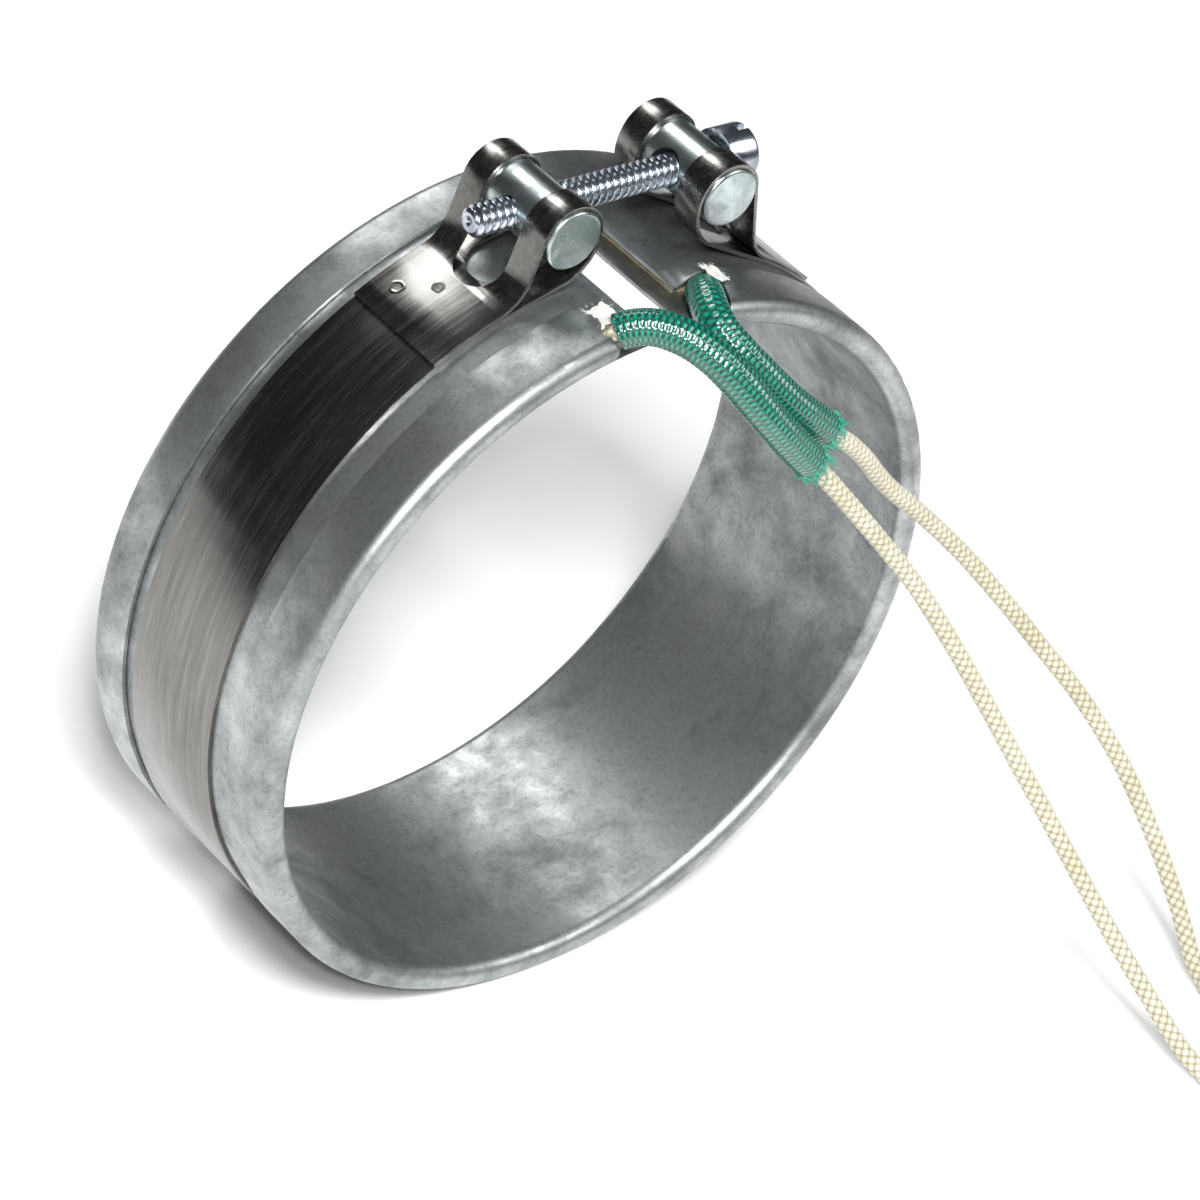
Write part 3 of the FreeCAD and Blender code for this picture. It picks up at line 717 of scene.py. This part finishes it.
for tag in ("left", "right"):
    P = lines[tag]
    s_end = SLEEVE_S[tag][1]
    L = arc_length(P)
    T, N1, N2 = frames_along(resample(P, np.linspace(0, s_end + 3, 900)))
    i = int(900 * s_end / (s_end + 3)) - 1
    c = resample(P, np.array([s_end - 0.25]))[0]
    roots, dirs, lens = [], [], []
    for k in range(150):
        th = rng.uniform(0, 2 * math.pi)
        rad_dir = math.cos(th) * N1[i] + math.sin(th) * N2[i]
        roots.append(c + (SLEEVE_R - rng.uniform(0.10, 0.35)) * rad_dir + rng.uniform(-0.4, 0.1) * T[i])
        tang = -math.sin(th) * N1[i] + math.cos(th) * N2[i]
        dirs.append(T[i] * 1.0 + rad_dir * rng.uniform(-0.15, 0.28) + tang * rng.uniform(-0.9, 0.9))
        lens.append(rng.uniform(0.7, 2.6))
    fray = strands("sleeve_%s_fray" % tag, roots, dirs, lens, 0.34, rng)
    assign(fray, mat_fray)
    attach(fray, "band")


def flake(name, deg0, deg1, y0, y1, rho, lift, seed, node_name):
    """A torn scrap of glass-fibre wrap lying on the metal."""
    r = np.random.default_rng(seed)
    nu, nv = 34, 30
    U, W = np.meshgrid(np.linspace(0, 1, nu), np.linspace(0, 1, nv), indexing="ij")
    rag = r.normal(size=(4, 12))

    def rough(t, k):
        return sum(rag[k, m] * np.sin((m + 1) * 3.1 * t + rag[k, m] * 9) / (m + 2) for m in range(12)) * 0.085
    Us = U + rough(W, 0) * (1 - U) + rough(W + 0.3, 1) * U
    Ws = W + rough(U, 2) * (1 - W) + rough(U + 0.2, 3) * W
    deg = deg0 + (deg1 - deg0) * Us
    y = y0 + (y1 - y0) * Ws
    bump = lift * (0.4 * np.sin(5 * Us + 2 * Ws) + 0.35 * np.sin(9 * Ws + 1.0) + 0.25 * np.sin(17 * Us))
    bump = bump + r.normal(size=U.shape) * 0.035
    z = rho + bump
    a = np.radians(deg)
    top = np.stack([z * np.sin(a), y, z * np.cos(a)], -1)
    z2 = z - 0.16
    bot = np.stack([z2 * np.sin(a), y, z2 * np.cos(a)], -1)
    verts = np.vstack([top.reshape(-1, 3), bot.reshape(-1, 3)])
    faces, n = [], nu * nv
    for i in range(nu - 1):
        for j in range(nv - 1):
            q = (i * nv + j, (i + 1) * nv + j, (i + 1) * nv + j + 1, i * nv + j + 1)
            faces.append(q)
            faces.append(tuple(n + v for v in reversed(q)))
    edge = ([(i * nv, (i + 1) * nv) for i in range(nu - 1)]
            + [((i + 1) * nv + nv - 1, i * nv + nv - 1) for i in range(nu - 1)]
            + [(j + 1, j) for j in range(nv - 1)]
            + [((nu - 1) * nv + j, (nu - 1) * nv + j + 1) for j in range(nv - 1)])
    for p, q in edge:
        faces.append((q, p, n + p, n + q))
    ob = make_mesh(name, verts, faces)
    assign(ob, mat_flake)
    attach(ob, "band")
    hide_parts(node_name)
    # loose fibres round its edges
    roots, dirs, lens = [], [], []
    for k in range(22):
        u, w = r.uniform(0, 1), r.uniform(0, 1)
        if k % 2:
            u = round(u)
        else:
            w = round(w)
        dg, yy = deg0 + (deg1 - deg0) * u, y0 + (y1 - y0) * w
        p = on_band(dg, yy, rho + 0.05)
        roots.append(p)
        out = on_band(dg + (u - 0.5) * 6, yy + (w - 0.5) * 4, rho + 0.3) - p
        dirs.append(out + r.normal(size=3) * 0.35)
        lens.append(r.uniform(0.3, 0.8))
    fz = strands(name + "_fibres", roots, dirs, lens, 0.14, r, 0.5, 0.02)
    assign(fz, mat_flake)
    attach(fz, "band")


flake("splice_left_scrap", -11.6, -8.3, -18.4, -13.6, 61.45, 0.16, 3, "splice_wrap_left")
flake("splice_right_scrap", 9.6, 12.1, -16.2, -12.2, 61.75, 0.18, 5, "splice_wrap_right")

# the cover's lip, raised a little over the right sleeve where it goes in
lip_pts = [(1.9, -15.9), (3.7, -14.7), (5.9, -13.95), (8.7, -13.2), (11.2, -12.3), (13.0, -11.9)]
nu, nv = 60, 16
la = np.array([p[0] for p in lip_pts])
ly = np.array([p[1] for p in lip_pts])
u = np.linspace(3.35, 12.9, nu)
yl = np.interp(u, la, ly)
rise = 0.95 * np.exp(-((u - 8.1) / 2.5) ** 2)
rows_t, rows_b = [], []
for j in range(nv):
    t = j / (nv - 1)
    y = -10.6 + (yl + 10.6) * t
    rho = 60.63 + rise * t ** 2.2 + 0.03 * np.sin(9 * u * 0.3 + 3 * t)
    rows_t.append(np.stack([rho * np.sin(np.radians(u)), y, rho * np.cos(np.radians(u))], -1))
    rb = rho - 0.50 * min(1.0, t * 3 + 0.02)
    rows_b.append(np.stack([rb * np.sin(np.radians(u)), y + 0.04 * t, rb * np.cos(np.radians(u))], -1))
top, bot = np.array(rows_t), np.array(rows_b)
# round the front edge over
nose = []
for q in range(1, 6):
    a = math.pi * q / 6
    mid = 0.5 * (top[-1] + bot[-1])
    half = 0.5 * (top[-1] - bot[-1])
    hl = np.linalg.norm(half, axis=1)[:, None]
    nose.append(mid + half * math.cos(a) + np.array([0, -1.0, 0]) * hl * math.sin(a))
sheet = np.concatenate([top, np.array(nose), bot[::-1]], 0)
nr = sheet.shape[0]
faces = [(i * nu + j, i * nu + j + 1, (i + 1) * nu + j + 1, (i + 1) * nu + j) for i in range(nr - 1) for j in range(nu - 1)]
lip = make_mesh("cover_lip", sheet.reshape(-1, 3), faces)
assign(lip, mat_sheath)
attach(lip, "band")


# spot-weld marks on the strap's left end
def weld(name, deg, y, r0, rho, mat_):
    nr_, nt = 12, 40
    verts, faces = [], []
    t0 = np.array([math.cos(math.radians(deg)), 0, -math.sin(math.radians(deg))])
    up = np.array([math.sin(math.radians(deg)), 0, math.cos(math.radians(deg))])
    for i in range(nr_ + 1):
        q = i / nr_
        r = r0 * q
        h = 0.05 * math.exp(-((q - 0.72) / 0.13) ** 2) - 0.015 * (1 - q)
        h = h * (1 if q < 1 else 0)
        for j in range(nt):
            th = 2 * math.pi * j / nt
            wob = 1 + 0.06 * math.sin(3 * th + deg) + 0.04 * math.sin(5 * th)
            dx, dy = r * wob * math.cos(th), r * wob * math.sin(th)
            d2 = deg + math.degrees(dx / rho)
            verts.append(on_band(d2, y + dy, rho + 0.012 + h))
    for i in range(nr_):
        for j in range(nt):
            k = (j + 1) % nt
            faces.append((i * nt + j, (i + 1) * nt + j, (i + 1) * nt + k, i * nt + k))
    ob = make_mesh(name, verts, faces)
    assign(ob, mat_)
    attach(ob, "band")


weld("weld_mark_a", -27.4, 7.4, 1.30, 61.885, mat_strap)
weld("weld_mark_b", -23.6, 3.0, 1.05, 61.885, mat_weld)

# ---------------------------------------------------------- floor and lights
bm = bmesh.new()
bmesh.ops.create_grid(bm, x_segments=2, y_segments=2, size=3.0)
me = bpy.data.meshes.new("floor")
bm.to_mesh(me)
bm.free()
floor = link(bpy.data.objects.new("floor", me))
floor.location = (0.3, 0.3, FLOOR_Z * MM - 0.00002)
fm = Mat("floor_pale", Roughness=0.9)
fm.set("Base Color", fm.ramp(fm.noise(fm.coords("Object"), 3.0, 3.0), [(0.3, (0.90, 0.90, 0.90, 1)), (0.7, (0.93, 0.93, 0.93, 1))]))
assign(floor, fm)


def area(name, loc, target, size, power, color=(1, 1, 1)):
    ld = bpy.data.lights.new(name, "AREA")
    ld.shape = "DISK"
    ld.size = size
    ld.energy = power
    ld.color = color
    ob = link(bpy.data.objects.new(name, ld))
    ob.location = loc
    d = Vector(target) - Vector(loc)
    ob.rotation_euler = d.to_track_quat("-Z", "Y").to_euler()
    return ob


area("key", (-0.62, -0.72, 1.05), (0, 0, 0), 0.30, 25.0)
area("flash", (-0.50, -0.52, 0.56), (0.0, -0.01, 0.0), 0.05, 2.6)
area("fill", (0.9, -0.9, 1.1), (0, 0, 0), 0.8, 12.0)
area("back", (0.3, 1.5, 1.6), (0.2, 0.6, 0), 0.9, 16.0)
world = bpy.data.worlds.new("studio")
scene.world = world
world.use_nodes = True
bg = world.node_tree.nodes["Background"]
bg.inputs["Color"].default_value = (0.96, 0.98, 1.0, 1)
bg.inputs["Strength"].default_value = 0.045
